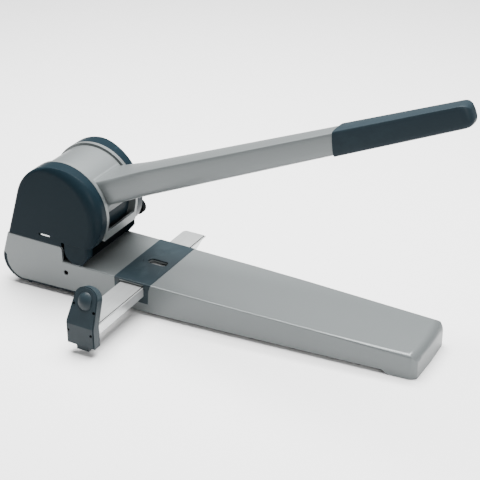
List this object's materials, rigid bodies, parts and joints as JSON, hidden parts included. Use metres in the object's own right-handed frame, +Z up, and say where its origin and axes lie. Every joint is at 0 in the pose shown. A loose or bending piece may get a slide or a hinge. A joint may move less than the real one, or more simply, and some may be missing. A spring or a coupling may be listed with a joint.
{
  "type": "heavy duty hole punch",
  "caption": "Two-hole paper punch with a long base, a leaning lever head with a rack and pinion drive, a spring-lifted presser and a sliding side guide.",
  "frame": {"origin": "on the table, below the lever axis, midway between the side walls of the base", "axes": "+X along the base towards its front tip, +Z up, +Y towards the far side of the picture"},
  "size_m": [0.5711, 0.2488, 0.3045],
  "materials": {
    "silver_paint": "fine satin",
    "dark_plastic": "fine grain",
    "grip_rubber": "smooth",
    "zinc_steel": "zinc plated",
    "bright_steel": "polished",
    "sheet_steel": "zinc plated",
    "cast_iron_grey": "painted",
    "bronze_bush": "sintered",
    "black_rubber": "matt",
    "black_plastic": "matt"
  },
  "bodies": {
    "base": {"base_shell": "silver_paint", "bottom_plate": "dark_plastic", "rubber_feet": "black_rubber", "base_pillars": "zinc_steel", "base_screws": "zinc_steel", "wall_screws": "zinc_steel", "guide_saddle": "dark_plastic", "rail_channel": "dark_plastic", "die_plate": "zinc_steel", "die_bushes": "bright_steel", "head_frame": "silver_paint", "inner_guard": "dark_plastic", "paper_stop": "zinc_steel", "shaft_bushes": "bronze_bush", "guide_posts": "bright_steel", "post_nuts": "zinc_steel", "return_springs": "zinc_steel", "near_cover": "dark_plastic", "far_cover": "dark_plastic", "cover_clips": "sheet_steel"},
    "lever": {"lever_arm": "silver_paint", "lever_grip": "grip_rubber", "main_shaft": "bright_steel", "shaft_caps": "zinc_steel", "pinion": "zinc_steel", "shaft_key": "zinc_steel"},
    "punch_unit": {"punch_yoke": "zinc_steel", "rack": "zinc_steel", "rack_screws": "zinc_steel", "punches": "bright_steel", "punch_clips": "sheet_steel"},
    "presser": {"presser_bar": "black_plastic", "near_shoe": "dark_plastic", "far_shoe": "dark_plastic", "presser_springs": "zinc_steel"},
    "guide": {"guide_rail": "sheet_steel", "end_stop": "dark_plastic", "stop_plate": "dark_plastic", "stop_screws": "zinc_steel", "button_spring": "zinc_steel"},
    "button": {"release_button": "dark_plastic"},
    "tray": {"chip_tray": "dark_plastic"},
    "knob": {"lock_knob": "black_plastic"}
  },
  "joints": [
    {"name": "lever_hinge", "type": "hinge", "parent": "base", "child": "lever", "pos_m": [0.0023, 0, 0.10846], "axis": [0, -1, 0], "range_deg": [0, 80]},
    {"name": "carrier_slide", "type": "slide", "parent": "base", "child": "punch_unit", "axis": [0.0372, 0, 0.9993], "range_m": [0, 0.028], "deforming": ["return_springs"]},
    {"name": "presser_slide", "type": "slide", "parent": "base", "child": "presser", "axis": [0.0372, 0, 0.9993], "range_m": [0, 0.028]},
    {"name": "guide_slide", "type": "slide", "parent": "base", "child": "guide", "axis": [0, 1, 0], "range_m": [-0.05, 0.088]},
    {"name": "button_slide", "type": "slide", "parent": "guide", "child": "button", "axis": [-0.0133, 0.9336, -0.3581], "range_m": [0, 0.0025], "stiffness_N_per_m": 400, "springref_m": -0.0005},
    {"name": "tray_slide", "type": "slide", "parent": "base", "child": "tray", "axis": [-1, 0, 0], "range_m": [0, 0.08]},
    {"name": "knob_turn", "type": "hinge", "parent": "base", "child": "knob", "pos_m": [0.04325, 0.057, 0.07921], "axis": [0, 1, 0], "range_deg": [0, 90]}
  ],
  "couplings": [
    {"joint": "carrier_slide", "follows": "lever_hinge", "m_per_rad": 0.02},
    {"joint": "presser_slide", "follows": "lever_hinge", "m_per_rad": 0.02}
  ]
}
